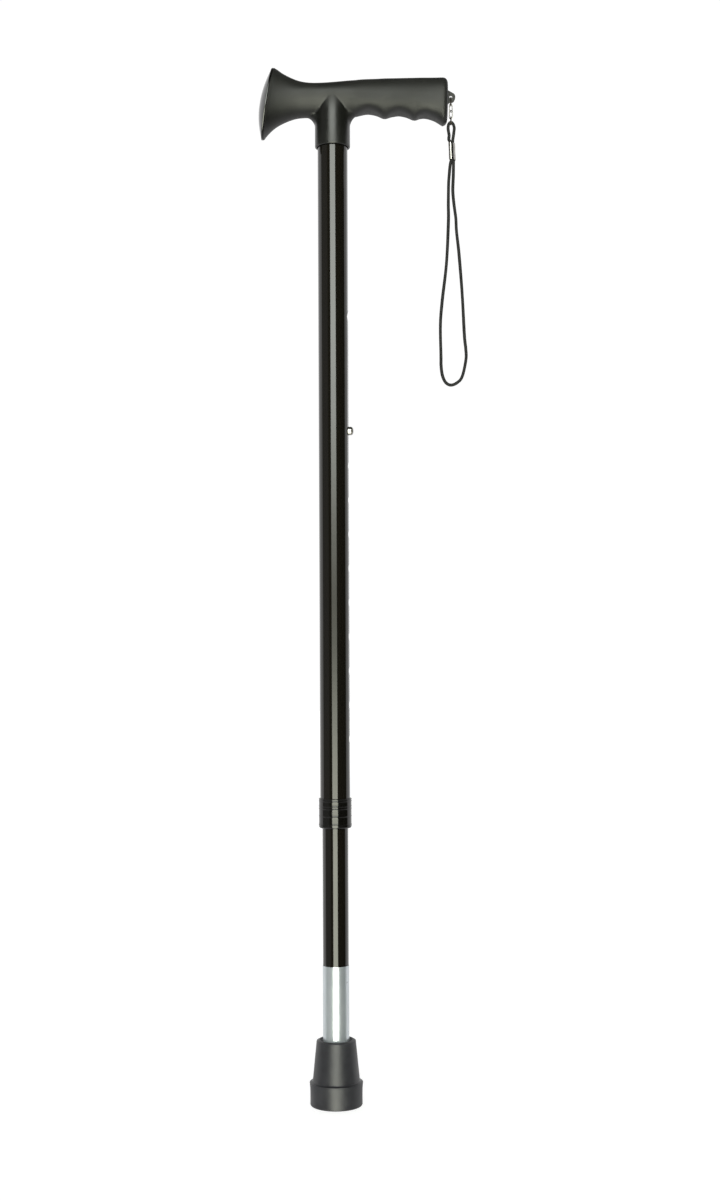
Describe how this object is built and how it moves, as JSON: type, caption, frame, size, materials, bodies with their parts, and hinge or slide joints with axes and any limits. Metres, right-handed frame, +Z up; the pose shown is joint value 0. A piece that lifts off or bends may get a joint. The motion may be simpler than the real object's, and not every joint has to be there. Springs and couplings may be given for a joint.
{
  "type": "adjustable walking stick",
  "caption": "Telescopic walking stick: contoured T-shaped grip with a flared nose, snap-button height adjustment, lock ring, rubber tip and a wrist strap.",
  "frame": {"origin": "centre of the rubber tip's underside, on the shaft's axis, at the shortest setting", "axes": "+Z up along the shaft, +X towards the long end of the grip and the side with the height holes, +Y away from the side seen in the picture"},
  "size_m": [0.1543, 0.0396, 0.7677],
  "materials": {
    "black_plastic": "satin",
    "gloss_plastic": "gloss",
    "black_enamel": "gloss",
    "nylon": "satin",
    "steel": "satin",
    "nickel": "polished",
    "rubber": "matte",
    "silver_foil": "satin",
    "black_cord": "matte"
  },
  "bodies": {
    "upper": {"handle_body": "black_plastic", "nose_cap": "gloss_plastic", "tube_top_plug": "nylon", "handle_screw": "steel", "upper_tube": "black_enamel"},
    "lower": {"lower_tube": "black_enamel", "guide_bush": "nylon", "snap_spring": "steel", "label_band": "silver_foil", "tip_washer": "steel", "rubber_tip": "rubber"},
    "button": {"snap_button": "nickel"},
    "clamp": {"clamp_ring": "nylon"},
    "ring": {"lock_ring": "gloss_plastic"},
    "strap_top": {"strap_link_1": "nickel"},
    "strap": {"strap_link_2": "nickel", "strap_link_3": "nickel", "strap_link_4": "nickel", "cord_eye": "black_cord", "strap_ferrule": "nickel", "wrist_cord": "black_cord"}
  },
  "joints": [
    {"name": "height_adjust", "type": "slide", "parent": "lower", "child": "upper", "axis": [0, 0, 1], "range_m": [0, 0.2286], "deforming": ["snap_spring", "snap_button"]},
    {"name": "button_press", "type": "slide", "parent": "lower", "child": "button", "axis": [-1, 0, 0], "range_m": [0, 0.0052], "stiffness_N_per_m": 1500, "springref_m": -0.003, "deforming": ["snap_spring"]},
    {"name": "clamp_ring_drop", "type": "slide", "parent": "upper", "child": "clamp", "axis": [0, 0, -1], "range_m": [0, 0.003]},
    {"name": "lock_ring_turn", "type": "hinge", "parent": "clamp", "child": "ring", "pos_m": [0, 0, 0.215], "axis": [0, 0, -1], "range_deg": [0, 720]},
    {"name": "strap_swing", "type": "hinge", "parent": "upper", "child": "strap_top", "pos_m": [0.0878, 0, 0.7464], "axis": [0, -1, 0], "range_deg": [-3, 180]},
    {"name": "strap_side_swing", "type": "hinge", "parent": "strap_top", "child": "strap", "pos_m": [0.0878, 0, 0.7417], "axis": [1, 0, 0], "range_deg": [-60, 60]}
  ],
  "couplings": [
    {"joint": "clamp_ring_drop", "follows": "lock_ring_turn", "m_per_rad": 0.00023873}
  ]
}
